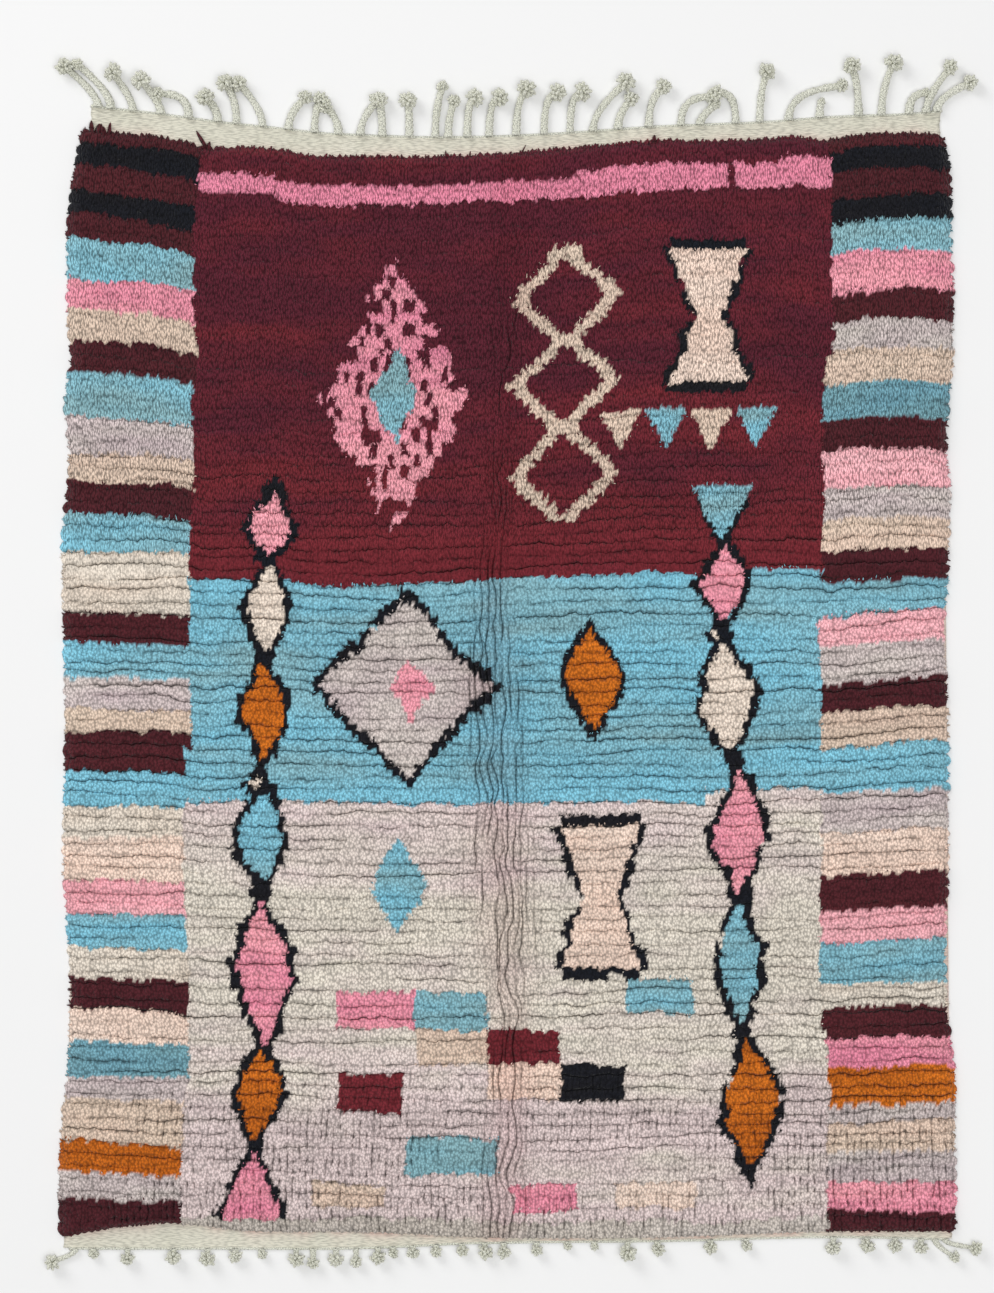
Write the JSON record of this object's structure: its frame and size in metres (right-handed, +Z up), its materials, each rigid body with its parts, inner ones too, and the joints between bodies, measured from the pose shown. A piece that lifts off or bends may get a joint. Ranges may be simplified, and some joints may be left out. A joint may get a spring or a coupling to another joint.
{
  "type": "boujaad rug",
  "caption": "Hand-knotted wool pile rug lying flat, with striped side borders, a patterned field, flat-woven heads and corded fringes ending in puffs",
  "frame": {"origin": "Middle of the rug's box, on the floor under it", "axes": "+Z up from the floor, +Y along the warps to the end with the long fringe, +X along the wefts, to the right when +Y points away"},
  "size_m": [1.8723, 2.4325, 0.032],
  "materials": {
    "ground_wool": "matt undyed wool, tight flat weave with fine ribs",
    "pile_wool": "matt knotted wool pile in burgundy, light blue, pink, cream, lavender grey, orange and black",
    "fringe_wool": "matt undyed wool cords, twisted, with fluffy ends"
  },
  "bodies": {
    "root": {"ground_weave": "ground_wool", "knotted_pile": "pile_wool", "fringe_top": "fringe_wool", "fringe_bottom": "fringe_wool"}
  },
  "joints": []
}
